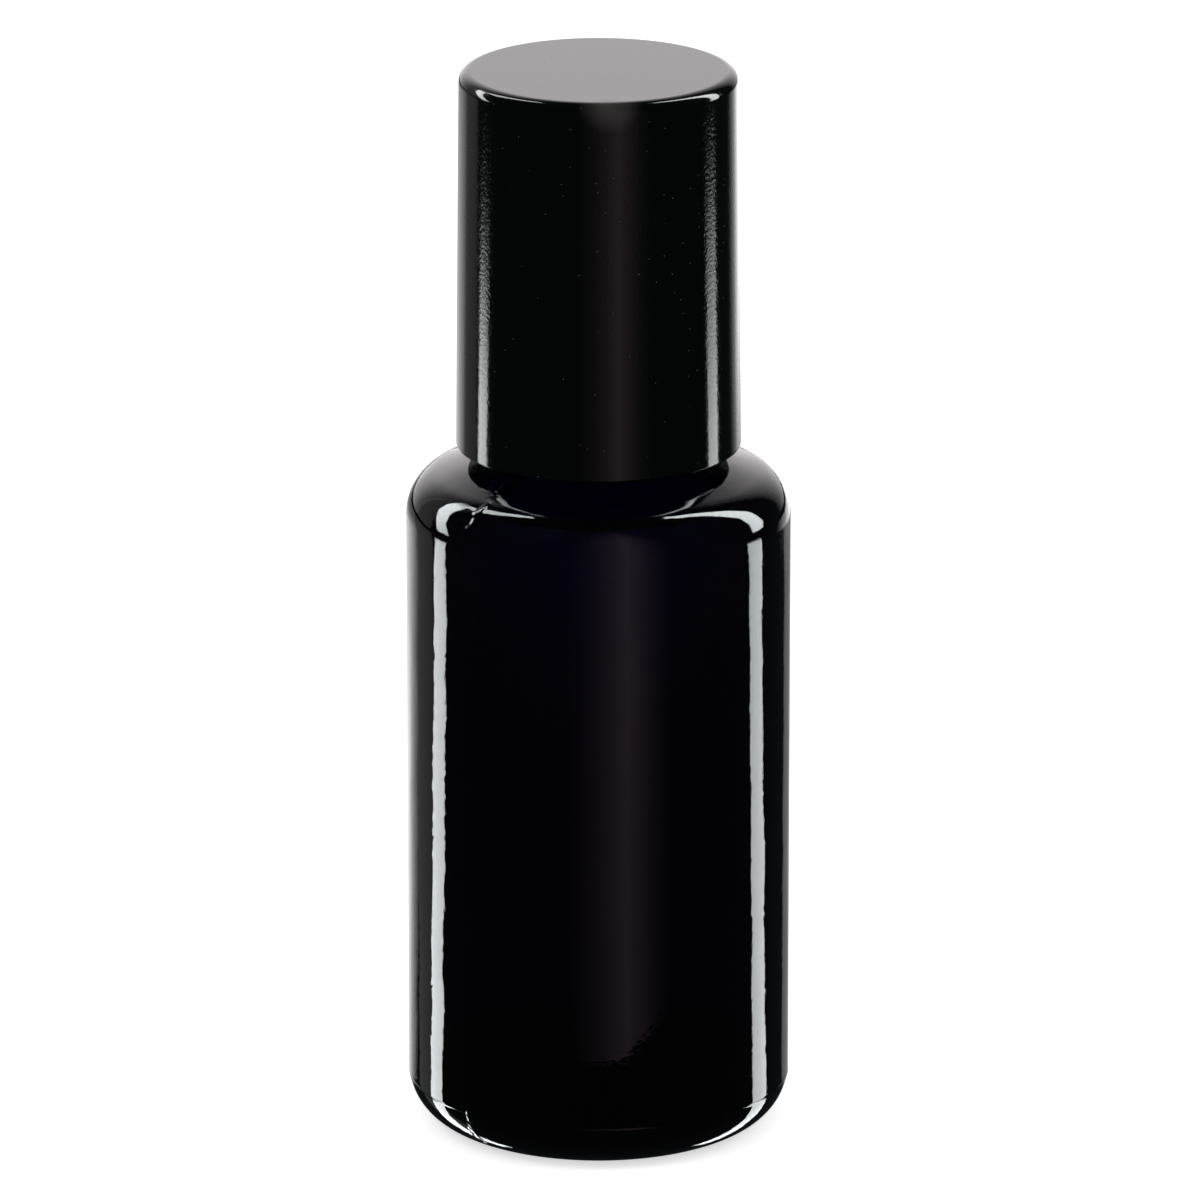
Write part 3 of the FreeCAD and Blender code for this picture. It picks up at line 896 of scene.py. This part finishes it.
@dataclass
class GlassBottle:
    """The moulded glass bottle with its push-up, heel, shoulder and screw neck."""

    finish: bpy.types.Material
    body_radius: float = field(default_factory=lambda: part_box("glass_bottle")[1].x)
    rim_height: float = field(default_factory=lambda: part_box("glass_bottle")[1].z)
    body_wall: float = 2.4 * MM
    base_thickness: float = 4.4 * MM
    foot_ring: float = 1.9 * MM
    push_up_depth: float = 1.6 * MM
    heel_round: float = 4.6 * MM
    inner_heel_round: float = 3.4 * MM
    shoulder_height: float = 57.35 * MM
    shoulder_slope: float = math.radians(22)
    shoulder_round: float = 4.2 * MM
    shoulder_wall: float = 2.6 * MM
    inner_shoulder_round: float = 2.6 * MM
    bore_radius: float = 5.9 * MM
    neck_wall: float = 2.0 * MM
    neck_root_round: float = 0.9 * MM
    inner_neck_round: float = 1.6 * MM
    rim_round: float = 0.5 * MM
    bead_rise: float = 2.3 * MM
    bead_radius: float = 0.8 * MM
    thread_depth: float = 0.85 * MM
    thread_width: float = 1.6 * MM
    thread_lead: float = 6.0 * MM
    thread_turns: float = 1.2
    thread_foot: float = 65.4 * MM
    thread_rows: int = 72
    seam_height: float = 4.1 * MM
    seam_width: float = 0.3 * MM
    seam_proud: float = 0.05 * MM
    steps: int = 224

    def thread(self) -> ScrewThread:
        """The thread on the neck's wall."""
        wall = self.bore_radius + self.neck_wall
        return ScrewThread(
            wall, self.thread_depth, self.thread_width, self.thread_lead, self.thread_foot, self.thread_turns
        )

    def outline(self) -> ProfilePen:
        """Draw the bottle's half outline, up the outside and down the inside.

        Returns:
            The pen that holds it.
        """
        rise = math.tan(self.shoulder_slope)
        neck = self.bore_radius + self.neck_wall
        hollow = self.body_radius - self.body_wall
        neck_root = self.shoulder_height + (self.body_radius - neck) * rise
        bead = neck_root + self.bead_rise
        foot = self.body_radius - self.heel_round - self.foot_ring
        dome = (foot**2 + self.push_up_depth**2) / (2 * self.push_up_depth)
        inner_shoulder = self.shoulder_height + self.body_wall * rise - self.shoulder_wall
        inner_neck = neck_root + self.neck_wall * rise - self.shoulder_wall

        pen = ProfilePen(0.0, self.push_up_depth)
        pen.arc(Vector((0.0, 0.0, self.push_up_depth - dome)), math.asin(foot / dome))
        pen.follow(
            Corner(self.body_radius, 0.0, self.heel_round),
            Corner(self.body_radius, self.shoulder_height, self.shoulder_round),
            Corner(neck, neck_root, self.neck_root_round),
            Corner(neck, bead - self.bead_radius),
        )
        pen.arc(Vector((neck, 0.0, bead)), -math.pi)
        pen.follow(
            Corner(neck, self.rim_height, self.rim_round, cuts=self.thread_rows),
            Corner(self.bore_radius, self.rim_height, self.rim_round),
            Corner(self.bore_radius, inner_neck, self.inner_neck_round),
            Corner(hollow, inner_shoulder, self.inner_shoulder_round),
            Corner(hollow, self.base_thickness, self.inner_heel_round),
            Corner(0.0, self.base_thickness),
        )
        return pen

    def add_heel_seam(self, mesh: bmesh.types.BMesh) -> None:
        """Raise the fine ring that the mould's joint leaves round the heel.

        Args:
            mesh: The turned bottle.
        """
        for share in (-1, 0, 1):
            height = self.seam_height + share * self.seam_width / 2
            parts = mesh.verts[:] + mesh.edges[:] + mesh.faces[:]
            bmesh.ops.bisect_plane(mesh, geom=parts, plane_co=(0, 0, height), plane_no=(0, 0, 1))
        hollow = self.body_radius - self.body_wall
        for vert in mesh.verts:
            radius = math.hypot(vert.co.x, vert.co.y)
            if radius > hollow and abs(vert.co.z - self.seam_height) < ProfilePen.MERGE:
                vert.co.x *= 1 + self.seam_proud / radius
                vert.co.y *= 1 + self.seam_proud / radius

    def build(self) -> bpy.types.Object:
        """Make the bottle and put it in its node's place.

        Returns:
            The bottle.
        """
        mesh = self.outline().turned(self.steps)
        self.thread().raise_on(mesh)
        self.add_heel_seam(mesh)
        piece = add_piece(mesh, "bottle_glass", self.finish)
        settle(piece, Body.BOTTLE, "glass_bottle")
        return piece


@dataclass
class Roller:
    """The ball and the moulded housing that holds it on the neck."""

    housing_finish: bpy.types.Material
    ball_finish: bpy.types.Material
    ball_foot: float = field(default_factory=lambda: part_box("roller_ball")[0].z)
    ball_top: float = field(default_factory=lambda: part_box("roller_ball")[1].z)
    plug_end: float = field(default_factory=lambda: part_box("roller_housing")[0].z)
    lip_height: float = field(default_factory=lambda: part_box("roller_housing")[1].z)
    rim_height: float = field(default_factory=lambda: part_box("glass_bottle")[1].z)
    plug_radius: float = 5.84 * MM
    plug_lead: float = 0.7 * MM
    plug_lead_height: float = 1.2 * MM
    plug_end_round: float = 0.2 * MM
    plug_lead_round: float = 0.3 * MM
    feed_radius: float = 4.19 * MM
    rib_count: int = 3
    rib_height: float = 0.9 * MM
    rib_radius: float = 5.95 * MM
    rib_round: float = 0.15 * MM
    flange_radius: float = 8.7 * MM
    flange_thickness: float = 1.1 * MM
    flange_round: float = 0.3 * MM
    flange_foot_round: float = 0.12 * MM
    cup_radius: float = 8.35 * MM
    cup_round: float = 0.6 * MM
    socket_clearance: float = 0.15 * MM
    lip_radius: float = 6.55 * MM
    lip_land: float = 0.55 * MM
    lip_taper_height: float = 2.7 * MM
    lip_round: float = 0.25 * MM
    notch_count: int = 6
    notch_width: float = 1.3 * MM
    notch_reach: float = 1.5 * MM
    notch_drop: float = 0.5 * MM
    steps: int = 160
    ball_steps: int = 128
    ball_rings: int = 80

    @property
    def ball_radius(self) -> float:
        """The ball's radius."""
        return (self.ball_top - self.ball_foot) / 2

    @property
    def socket_radius(self) -> float:
        """The radius of the socket round the ball."""
        return self.ball_radius + self.socket_clearance

    @property
    def ball_centre(self) -> Vector:
        """The ball's middle."""
        return Vector((0.0, 0.0, self.ball_top - self.ball_radius))

    def outline(self) -> ProfilePen:
        """Draw the housing's half outline, up the outside and down through the socket.

        Returns:
            The pen that holds it.
        """
        lead_top = self.plug_end + self.plug_lead_height
        pitch = (self.rim_height - lead_top) / (self.rib_count + 1)
        ribs = []
        for rib in range(self.rib_count):
            middle = lead_top + pitch * (rib + 1)
            ribs += [
                Corner(self.plug_radius, middle - self.rib_height / 2),
                Corner(self.rib_radius, middle, self.rib_round),
                Corner(self.plug_radius, middle + self.rib_height / 2),
            ]
        flange_top = self.rim_height + self.flange_thickness
        lip_edge = self.lip_radius + self.lip_land
        pen = ProfilePen(self.feed_radius, self.plug_end)
        pen.follow(
            Corner(self.plug_radius - self.plug_lead, self.plug_end, self.plug_end_round),
            Corner(self.plug_radius, lead_top, self.plug_lead_round),
            *ribs,
            Corner(self.plug_radius, self.rim_height),
            Corner(self.flange_radius, self.rim_height, self.flange_foot_round),
            Corner(self.flange_radius, flange_top, self.flange_round),
            Corner(self.cup_radius, flange_top),
            Corner(self.cup_radius, self.lip_height - self.lip_taper_height, self.cup_round),
            Corner(lip_edge, self.lip_height, self.lip_round),
            Corner(self.lip_radius, self.lip_height),
        )
        upper = math.acos((self.lip_height - self.ball_centre.z) / self.socket_radius)
        lower = math.asin(self.feed_radius / self.socket_radius)
        pen.arc(self.ball_centre, math.pi - lower - upper)
        pen.follow(Corner(self.feed_radius, self.plug_end))
        return pen

    def notches(self) -> bmesh.types.BMesh:
        """Stand the blocks that cut the feed notches, which let the liquid past the ball's seat.

        Returns:
            The blocks in one mesh.
        """
        seat = self.ball_centre.z - math.sqrt(self.socket_radius**2 - self.feed_radius**2)
        low = (self.feed_radius / 2, -self.notch_width / 2, seat - self.notch_drop)
        high = (self.feed_radius + self.notch_reach, self.notch_width / 2, self.ball_centre.z)
        return spokes(self.notch_count, low, high)

    def build(self) -> tuple[bpy.types.Object, bpy.types.Object]:
        """Make the housing and the ball and put them in their nodes' places.

        Returns:
            The housing and the ball.
        """
        housing = add_piece(self.outline().turned(self.steps), "ball_housing", self.housing_finish)
        rework(housing, self.notches(), Work.CUT)
        settle(housing, Body.BOTTLE, "roller_housing")
        mesh = bmesh.new()
        place = Matrix.Translation(self.ball_centre)
        bmesh.ops.create_uvsphere(
            mesh, u_segments=self.ball_steps, v_segments=self.ball_rings, radius=self.ball_radius, matrix=place
        )
        ball = add_piece(mesh, "steel_ball", self.ball_finish)
        settle(ball, Body.BALL, "roller_ball")
        return housing, ball


@dataclass
class ScrewCap:
    """The cap: gloss shell, threaded sleeve and soft pad."""

    shell_finish: bpy.types.Material
    sleeve_finish: bpy.types.Material
    pad_finish: bpy.types.Material
    mouth_height: float = field(default_factory=lambda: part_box("cap_shell")[0].z)
    top_height: float = field(default_factory=lambda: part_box("cap_shell")[1].z)
    collar_face: float = field(default_factory=lambda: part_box("cap_insert")[0].z)
    plate_top: float = field(default_factory=lambda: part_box("cap_insert")[1].z)
    pad_face: float = field(default_factory=lambda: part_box("cap_seal_pad")[0].z)
    pad_top: float = field(default_factory=lambda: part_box("cap_seal_pad")[1].z)
    ball_centre: float = field(default_factory=lambda: sum(corner.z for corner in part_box("roller_ball")) / 2)
    mouth_radius: float = 12.2 * MM
    crown_radius: float = 11.87 * MM
    crown_round: float = 1.0 * MM
    mouth_round: float = 0.25 * MM
    shell_bore: float = 10.8 * MM
    ceiling_round: float = 0.3 * MM
    sleeve_bore: float = 9.05 * MM
    sleeve_radius: float = 10.1 * MM
    sleeve_round: float = 0.2 * MM
    bore_round: float = 0.3 * MM
    collar_radius: float = 10.74 * MM
    collar_height: float = 1.4 * MM
    collar_foot_round: float = 0.15 * MM
    collar_round: float = 0.1 * MM
    plate_thickness: float = 1.2 * MM
    rib_count: int = 16
    rib_width: float = 1.0 * MM
    rib_setback: float = 0.8 * MM
    holder_bore: float = 6.4 * MM
    holder_wall: float = 0.9 * MM
    holder_grip: float = 0.5 * MM
    holder_grip_round: float = 0.08 * MM
    holder_bead: float = 0.4 * MM
    pad_clearance: float = 0.2 * MM
    pad_radius: float = 6.2 * MM
    pad_round: float = 0.3 * MM
    pad_top_round: float = 0.1 * MM
    dish_radius: float = 3.2 * MM
    thread_depth: float = 0.8 * MM
    thread_width: float = 1.4 * MM
    thread_lead: float = 6.0 * MM
    thread_turns: float = 1.3
    thread_foot: float = 63.9 * MM
    thread_rows: int = 190
    steps: int = 192
    pad_steps: int = 96

    def shell_outline(self) -> ProfilePen:
        """Draw the shell's half outline, from the crown down the outside and up the bore.

        Returns:
            The pen that holds it.
        """
        pen = ProfilePen(0.0, self.top_height)
        pen.follow(
            Corner(self.crown_radius, self.top_height, self.crown_round),
            Corner(self.mouth_radius, self.mouth_height, self.mouth_round),
            Corner(self.shell_bore, self.mouth_height, self.mouth_round),
            Corner(self.shell_bore, self.plate_top, self.ceiling_round),
            Corner(0.0, self.plate_top),
        )
        return pen

    def sleeve_outline(self) -> ProfilePen:
        """Draw the sleeve's half outline, from its plate round the pad's holder, the bore and the collar.

        Returns:
            The pen that holds it.
        """
        plate_face = self.plate_top - self.plate_thickness
        bead_top = self.pad_face - self.pad_clearance
        holder_face = bead_top - self.holder_bead
        holder_radius = self.holder_bore + self.holder_wall
        collar_top = self.collar_face + self.collar_height
        pen = ProfilePen(0.0, plate_face)
        pen.follow(
            Corner(self.holder_bore, plate_face, self.sleeve_round),
            Corner(self.holder_bore, bead_top),
            Corner(self.holder_bore - self.holder_grip, bead_top, self.holder_grip_round),
            Corner(self.holder_bore, holder_face),
            Corner(holder_radius, holder_face, self.sleeve_round),
            Corner(holder_radius, plate_face, self.sleeve_round),
            Corner(self.sleeve_bore, plate_face, self.bore_round),
            Corner(self.sleeve_bore, self.collar_face, self.sleeve_round, cuts=self.thread_rows),
            Corner(self.collar_radius, self.collar_face, self.collar_foot_round),
            Corner(self.collar_radius, collar_top, self.collar_round),
            Corner(self.sleeve_radius, collar_top),
            Corner(self.sleeve_radius, self.plate_top, self.sleeve_round),
            Corner(0.0, self.plate_top),
        )
        return pen

    def ribs(self) -> bmesh.types.BMesh:
        """Stand the ribs round the sleeve that grip the shell.

        Returns:
            The ribs in one mesh.
        """
        inner = (self.sleeve_bore + self.sleeve_radius) / 2
        low = (inner, -self.rib_width / 2, self.collar_face + self.collar_height)
        high = (self.shell_bore, self.rib_width / 2, self.plate_top - self.rib_setback)
        return spokes(self.rib_count, low, high)

    def pad_outline(self) -> ProfilePen:
        """Draw the pad's half outline, from the dish that takes the ball.

        Returns:
            The pen that holds it.
        """
        dish = math.hypot(self.dish_radius, self.pad_face - self.ball_centre)
        pen = ProfilePen(0.0, self.ball_centre + dish)
        pen.arc(Vector((0.0, 0.0, self.ball_centre)), math.asin(self.dish_radius / dish))
        pen.follow(
            Corner(self.pad_radius, self.pad_face, self.pad_round),
            Corner(self.pad_radius, self.pad_top, self.pad_top_round),
            Corner(0.0, self.pad_top),
        )
        return pen

    def thread(self) -> ScrewThread:
        """The thread on the sleeve's bore, which stands towards the axis."""
        depth = -self.thread_depth
        return ScrewThread(
            self.sleeve_bore, depth, self.thread_width, self.thread_lead, self.thread_foot, self.thread_turns
        )

    def build(self) -> tuple[bpy.types.Object, ...]:
        """Make the cap's three pieces and put them in their nodes' places.

        Returns:
            The shell, the sleeve and the pad.
        """
        shell = add_piece(self.shell_outline().turned(self.steps), "cap_shell_gloss", self.shell_finish)
        settle(shell, Body.CAP, "cap_shell")
        mesh = self.sleeve_outline().turned(self.steps)
        self.thread().raise_on(mesh)
        sleeve = add_piece(mesh, "cap_sleeve", self.sleeve_finish)
        rework(sleeve, self.ribs(), Work.ADD)
        settle(sleeve, Body.CAP, "cap_insert")
        pad = add_piece(self.pad_outline().turned(self.pad_steps), "cap_pad", self.pad_finish)
        settle(pad, Body.SEAL, "cap_seal_pad")
        return shell, sleeve, pad


# Studio


class Across(Enum):
    """The ways a card's width can run."""

    SIDEWAYS = (1.0, 0.0, 0.0)
    BACKWARDS = (0.0, 1.0, 0.0)


@dataclass(frozen=True)
class Card:
    """A glowing card beside the set that only shows as a reflection.

    Attributes:
        name: What it is.
        foot: Middle of its first edge.
        head: Middle of its far edge.
        width: Its width.
        glow: Its brightness.
        across: The way its width runs.
        tint: Its colour.
        soft_sides: How far its glow fades towards its sides.
        soft_foot: How far its glow fades towards its foot.
        soft_head: How far its glow fades towards its head.
        foot_share: Share of the glow left at its foot.
        head_share: Width at its head, as a share of its width.
        falloff: Power that shapes the fading.
    """

    name: str
    foot: Triple
    head: Triple
    width: float
    glow: float
    across: Across = Across.SIDEWAYS
    tint: Triple = WHITE
    soft_sides: float = 0.004
    soft_foot: float = 0.004
    soft_head: float = 0.004
    foot_share: float = 0.0
    head_share: float = 1.0
    falloff: float = 1.0

    @property
    def length(self) -> float:
        """The card's length from foot to head."""
        return (Vector(self.head) - Vector(self.foot)).length

    def finish(self) -> bpy.types.Material:
        """Make the card's glowing material.

        Returns:
            The material.
        """
        material = bpy.data.materials.new(f"{self.name}_glow")
        material.use_nodes = True
        sheet = NodeSheet(material.node_tree)
        sheet.tree.nodes.remove(sheet.tree.nodes["Principled BSDF"])
        spot = sheet.add("ShaderNodeSeparateXYZ", {"Vector": sheet.place()})
        half_width, half_length = self.width / 2, self.length / 2
        side = sheet.math("ABSOLUTE", spot.outputs["X"])
        sides = sheet.remap(side, (half_width, half_width - self.soft_sides), UNIT, "LINEAR")
        lower_end = (-half_length, self.soft_foot - half_length)
        foot = sheet.remap(spot.outputs["Y"], lower_end, (self.foot_share, 1.0), "LINEAR")
        upper_end = (half_length, half_length - self.soft_head)
        head = sheet.remap(spot.outputs["Y"], upper_end, UNIT, "LINEAR")
        mask = sheet.math("MULTIPLY", sides, sheet.math("MULTIPLY", foot, head))
        strength = sheet.math("MULTIPLY", sheet.math("POWER", mask, self.falloff), self.glow)
        light = sheet.add("ShaderNodeEmission", {"Color": (*self.tint, 1.0), "Strength": strength})
        clear = sheet.add("ShaderNodeBsdfTransparent")
        both = sheet.add("ShaderNodeAddShader", {0: light.outputs["Emission"], 1: clear.outputs["BSDF"]})
        sheet.link(both.outputs["Shader"], sheet.tree.nodes["Material Output"], "Surface")
        return material

    def build(self) -> bpy.types.Object:
        """Stand the card beside the set.

        Returns:
            The card.
        """
        mesh = bmesh.new()
        bmesh.ops.create_grid(mesh, x_segments=1, y_segments=1, size=0.5)
        bmesh.ops.scale(mesh, vec=(self.width, self.length, 1.0), verts=mesh.verts)
        head = [vert for vert in mesh.verts if vert.co.y > 0]
        bmesh.ops.scale(mesh, vec=(self.head_share, 1.0, 1.0), verts=head)
        card = add_piece(mesh, self.name, self.finish())
        along = (Vector(self.head) - Vector(self.foot)).normalized()
        face = Vector(self.across.value).cross(along).normalized()
        turn = Matrix((along.cross(face), along, face)).transposed()
        middle = (Vector(self.foot) + Vector(self.head)) / 2
        card.matrix_world = Matrix.Translation(middle) @ turn.to_4x4()
        for kind in ("camera", "diffuse", "transmission", "volume_scatter", "shadow"):
            setattr(card, f"visible_{kind}", False)
        return card


@dataclass
class Studio:
    """The pale floor, the soft light, the reflected cards and the camera."""

    shelf: EffectShelf
    floor_radius: float = 4.0
    floor_steps: int = 96
    ambient: float = 1.05
    shade: float = 0.64
    backdrop: float = 1.0
    dim_room: float = 0.02
    dim_tint: Triple = (0.8, 0.9, 1.0)
    lamp_size: float = 0.7
    lens: float = 333.0
    sensor: float = 36.0
    clip: Span = (0.01, 20.0)
    distance: float = 0.954
    elevation: float = math.radians(17.14)
    target: Vector = field(default_factory=lambda: Vector((0.00013, 0.0, 0.0466)))

    def lay_floor(self) -> bpy.types.Object:
        """Lay the floor under the foot.

        Returns:
            The floor.
        """
        mesh = bmesh.new()
        bmesh.ops.create_circle(mesh, cap_ends=True, segments=self.floor_steps, radius=self.floor_radius)
        floor = add_piece(mesh, "studio_floor", PaleFloor().build(self.shelf))
        floor.visible_glossy = floor.visible_diffuse = False
        return floor

    def light_world(self) -> None:
        """Wrap the set in even light that gloss doesn't see."""
        world = bpy.data.worlds.new("studio_air")
        world.use_nodes = True
        bpy.context.scene.world = world
        sheet = NodeSheet(world.node_tree)
        sheet.tree.nodes.clear()
        path = sheet.add("ShaderNodeLightPath")
        level = sheet.remap(path.outputs["Is Diffuse Ray"], UNIT, (self.ambient, self.shade), "LINEAR")
        glows = ((WHITE, level), (self.dim_tint, self.dim_room), (WHITE, self.backdrop))
        air, dark, bright = (
            sheet.add("ShaderNodeBackground", {"Color": (*tint, 1.0), "Strength": strength}).outputs[0]
            for tint, strength in glows
        )
        gloss = {0: path.outputs["Is Glossy Ray"], 1: air, 2: dark}
        unseen = sheet.add("ShaderNodeMixShader", gloss).outputs[0]
        seen = {0: path.outputs["Is Camera Ray"], 1: unseen, 2: bright}
        mixed = sheet.add("ShaderNodeMixShader", seen)
        sheet.add("ShaderNodeOutputWorld", {"Surface": mixed.outputs[0]})

    def hang_lamps(self) -> None:
        """Hang two soft lamps that shape the pale pieces and stay out of the gloss."""
        places = {"key_lamp": ((-0.7, -0.6, 1.1), 3.0), "fill_lamp": ((0.8, -0.3, 0.9), 2.0)}
        for name, (place, power) in places.items():
            lamp = bpy.data.lights.new(name, "AREA")
            lamp.shape = "DISK"
            lamp.size = self.lamp_size
            lamp.energy = power
            holder = bpy.data.objects.new(name, lamp)
            holder.location = place
            holder.rotation_euler = (self.target - Vector(place)).to_track_quat("-Z", "Y").to_euler()
            holder.visible_glossy = False
            bpy.context.scene.collection.objects.link(holder)

    def stand_cards(self) -> None:
        """Stand the cards whose reflections draw the gloss.

        Strips below and softboxes above draw the bright lines at left and right. Walls and floor pieces behind
        draw the pale edges, and a dim card in front draws the glow down the middle.
        """
        back, cool = Across.BACKWARDS, (0.93, 0.98, 1.0)
        strip = {"across": back, "tint": cool, "soft_sides": 0.004, "head_share": 0.42}
        softbox = {"across": back, "tint": cool, "soft_head": 0.03, "soft_foot": 0.2, "foot_share": 0.65}
        wall = {"across": back, "soft_sides": 0.01}
        cards = [
            Card(
                "left_strip", (-0.331, 0.09, -0.007), (-0.052, 0.09, -0.1495), 0.069, 6.9,
                soft_foot=0.029, **strip,
            ),
            Card(
                "right_strip", (0.396, 0.093, -0.0145), (0.052, 0.093, -0.1345), 0.086, 5.6,
                soft_foot=0.055, **strip,
            ),
            Card(
                "left_softbox", (-0.387, 0.091, 0.056), (-0.107, 0.091, 0.19), 0.072, 10.0,
                head_share=0.42, **softbox,
            ),
            Card(
                "left_softbox_head", (-0.154, 0.091, 0.225), (-0.154, 0.091, 0.51), 0.057, 11.0,
                head_share=0.7, **softbox,
            ),
            Card(
                "right_softbox", (0.29, 0.09, 0.06), (0.147, 0.09, 0.5), 0.064, 12.5,
                head_share=0.66, **softbox,
            ),
            Card("left_wall", (-0.44, 0.36, -0.6), (-0.44, 0.36, -0.01), 0.29, 0.18, **wall),
            Card("left_wall_head", (-0.44, 0.36, 0.02), (-0.44, 0.36, 0.6), 0.29, 0.18, soft_head=0.1, **wall),
            Card(
                "back_wall", (-0.08, 1.25, -0.03), (-0.08, 1.25, 2.0), 2.33, 1.42,
                tint=(1.0, 0.97, 0.985), soft_sides=0.9, soft_head=1.6,
            ),
            Card(
                "back_floor", (-0.15, 1.26, -0.55), (-0.15, 1.26, -0.1), 1.9, 0.28,
                soft_sides=0.08, soft_foot=0.05,
            ),
            Card(
                "back_floor_left", (-0.4, 1.27, -0.55), (-0.4, 1.27, -0.2), 1.6, 1.25,
                soft_sides=0.8, soft_foot=0.15, soft_head=0.19,
            ),
            Card(
                "back_floor_right", (0.41, 1.28, -0.355), (0.45, 1.28, -0.085), 1.96, 1.9,
                soft_sides=0.95, soft_foot=0.06, falloff=1.6,
            ),
            Card(
                "front_glow", (0.0159, -0.06, -0.0052), (0.0159, -0.06, 0.2), 0.0712, 0.33,
                tint=(1.0, 0.7, 0.9), soft_sides=0.0356, soft_foot=0.05, foot_share=0.88, soft_head=0.1,
                falloff=2.0,
            ),
        ]
        for card in cards:
            card.build()

    def place_camera(self) -> None:
        """Place the camera at the photograph's viewing angle."""
        data = bpy.data.cameras.new("studio_camera")
        data.lens = self.lens
        data.sensor_width = self.sensor
        data.clip_start, data.clip_end = self.clip
        camera = bpy.data.objects.new("studio_camera", data)
        back = Vector((0.0, -math.cos(self.elevation), math.sin(self.elevation)))
        camera.location = self.target + back * self.distance
        camera.rotation_euler = (-back).to_track_quat("-Z", "Y").to_euler()
        bpy.context.scene.collection.objects.link(camera)
        bpy.context.scene.camera = camera

    def build(self) -> None:
        """Set up the whole studio."""
        self.lay_floor()
        self.light_world()
        self.hang_lamps()
        self.stand_cards()
        self.place_camera()
        bpy.context.scene.view_settings.view_transform = "Standard"


def main() -> None:
    """Build the bottle, the roller, the cap and the studio."""
    logging.basicConfig(level=logging.INFO, format="%(name)s: %(message)s")
    shelf = EffectShelf()
    GlassBottle(VioletGlass().build(shelf)).build()
    Roller(MilkyHousing().build(shelf), PolishedSteel().build(shelf)).build()
    ScrewCap(GlossCap().build(shelf), SatinSleeve().build(shelf), SoftPad().build(shelf)).build()
    Studio(shelf).build()


if __name__ == "__main__":
    main()
